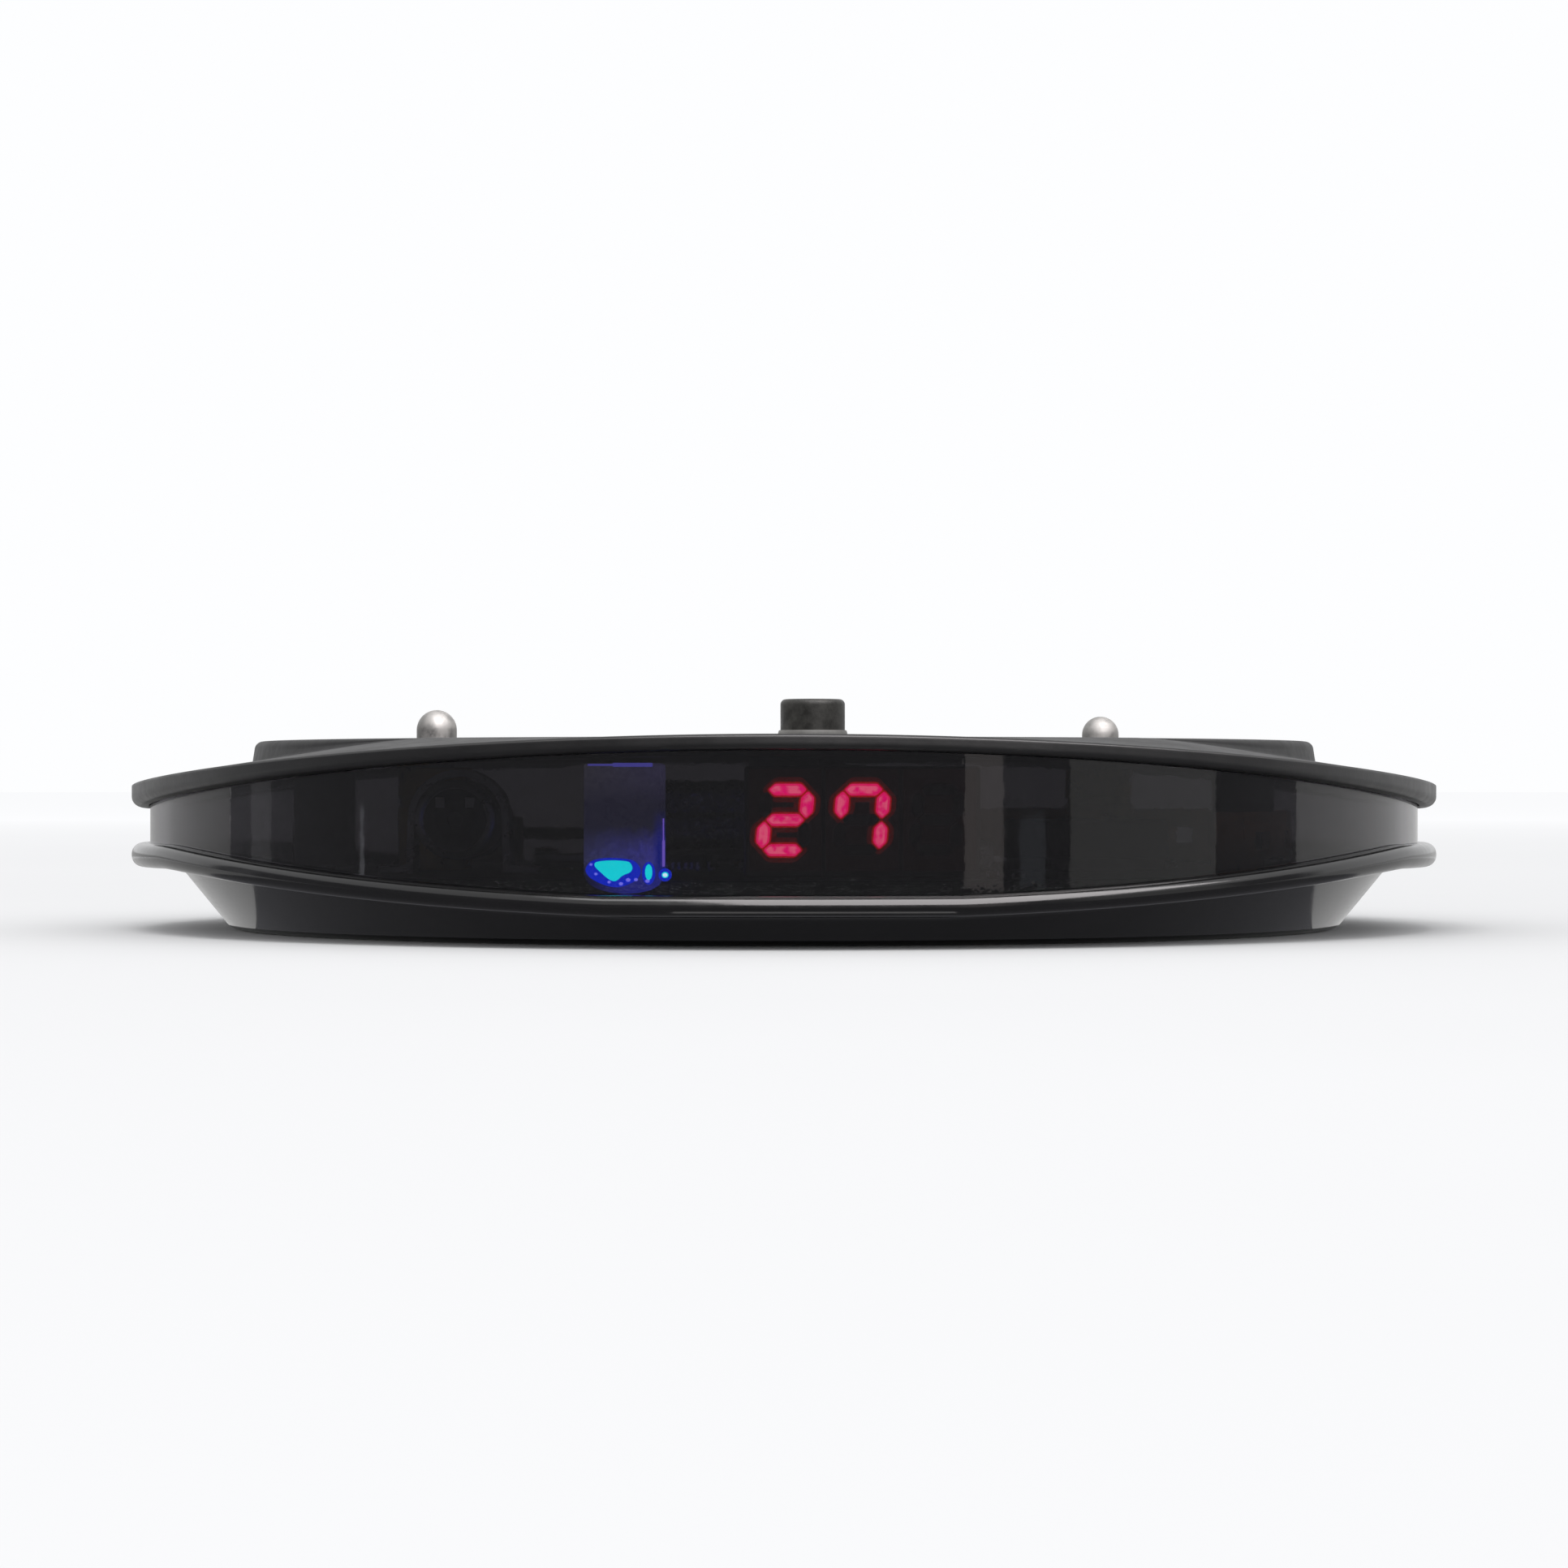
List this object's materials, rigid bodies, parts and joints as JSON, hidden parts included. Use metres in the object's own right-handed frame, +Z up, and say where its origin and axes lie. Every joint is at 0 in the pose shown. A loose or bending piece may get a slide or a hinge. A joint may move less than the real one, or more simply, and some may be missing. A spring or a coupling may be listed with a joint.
{
  "type": "coaster pager",
  "caption": "Round stackable coaster-style call pager: black shells with bowed rims, smoked lens band, lit number display, blue lamp, domed charging pins and a locating post.",
  "frame": {"origin": "on the round case's axis, in the plane of the flat underside", "axes": "+Z up through the deck, -Y out through the number display, +X to the display's right as it is read"},
  "size_m": [0.108, 0.108, 0.019],
  "materials": {
    "top_shell": "fine-textured satin black",
    "bottom_shell": "polished black",
    "lens_band": "dark smoked clear plastic",
    "locating_post": "satin black",
    "contact_pin": "nickel-plated, domed",
    "contact_barrel": "turned",
    "contact_spring": "spring wire",
    "contact_pad": "plated",
    "case_screw": "zinc-plated",
    "circuit_board": "green solder mask",
    "display_module": "dark grey",
    "display_header": "black",
    "digit": "red light pipe, glowing where lit",
    "light_guide": "clear polished",
    "blue_lamp": "lit blue",
    "alert_lamp": "unlit",
    "motor_can": "drawn steel",
    "motor_shaft": "ground",
    "eccentric_weight": "sintered",
    "motor_clip": "stamped strip",
    "battery_cell": "foil-wrapped",
    "battery_foam": "closed-cell foam",
    "battery_connector": "ivory nylon",
    "lead_red": "insulated wire",
    "lead_black": "insulated wire",
    "chip": "moulded epoxy",
    "radio_shield": "tinned",
    "crystal": "plated",
    "antenna_strip": "copper strip",
    "buzzer": "black",
    "underside_label": "blank satin silver film"
  },
  "bodies": {
    "case": {"alert_lamp_1": "alert_lamp", "alert_lamp_2": "alert_lamp", "alert_lamp_3": "alert_lamp", "alert_lamp_4": "alert_lamp", "alert_lamp_5": "alert_lamp", "alert_lamp_6": "alert_lamp", "antenna_strip": "antenna_strip", "battery_cell": "battery_cell", "battery_connector": "battery_connector", "battery_foam": "battery_foam", "battery_lead_black": "lead_black", "battery_lead_red": "lead_red", "blue_lamp": "blue_lamp", "bottom_shell": "bottom_shell", "buzzer": "buzzer", "case_screw_1": "case_screw", "case_screw_2": "case_screw", "case_screw_3": "case_screw", "case_screw_4": "case_screw", "charge_regulator": "chip", "circuit_board": "circuit_board", "crystal": "crystal", "digit_1": "digit", "digit_2": "digit", "digit_3": "digit", "display_header": "display_header", "display_module": "display_module", "left_contact_barrel": "contact_barrel", "left_contact_pad": "contact_pad", "left_contact_spring": "contact_spring", "lens_band": "lens_band", "light_guide": "light_guide", "locating_post": "locating_post", "microcontroller": "chip", "motor_can": "motor_can", "motor_clip": "motor_clip", "radio_shield": "radio_shield", "right_contact_barrel": "contact_barrel", "right_contact_pad": "contact_pad", "right_contact_spring": "contact_spring", "top_shell": "top_shell", "underside_label": "underside_label"},
    "left_pin": {"left_contact_pin": "contact_pin"},
    "right_pin": {"right_contact_pin": "contact_pin"},
    "motor_rotor": {"motor_shaft": "motor_shaft", "eccentric_weight": "eccentric_weight"}
  },
  "joints": [
    {"name": "left_pin_press", "type": "slide", "parent": "case", "child": "left_pin", "axis": [0, 0, 1], "range_m": [-0.0012, 0], "stiffness_N_per_m": 200, "springref_m": 0.001, "deforming": ["left_contact_spring"]},
    {"name": "right_pin_press", "type": "slide", "parent": "case", "child": "right_pin", "axis": [0, 0, 1], "range_m": [-0.0012, 0], "stiffness_N_per_m": 200, "springref_m": 0.001, "deforming": ["right_contact_spring"]},
    {"name": "motor_spin", "type": "hinge", "parent": "case", "child": "motor_rotor", "pos_m": [-0.0246, -0.022, 0.0092], "axis": [0, 1, 0], "continuous": true}
  ]
}
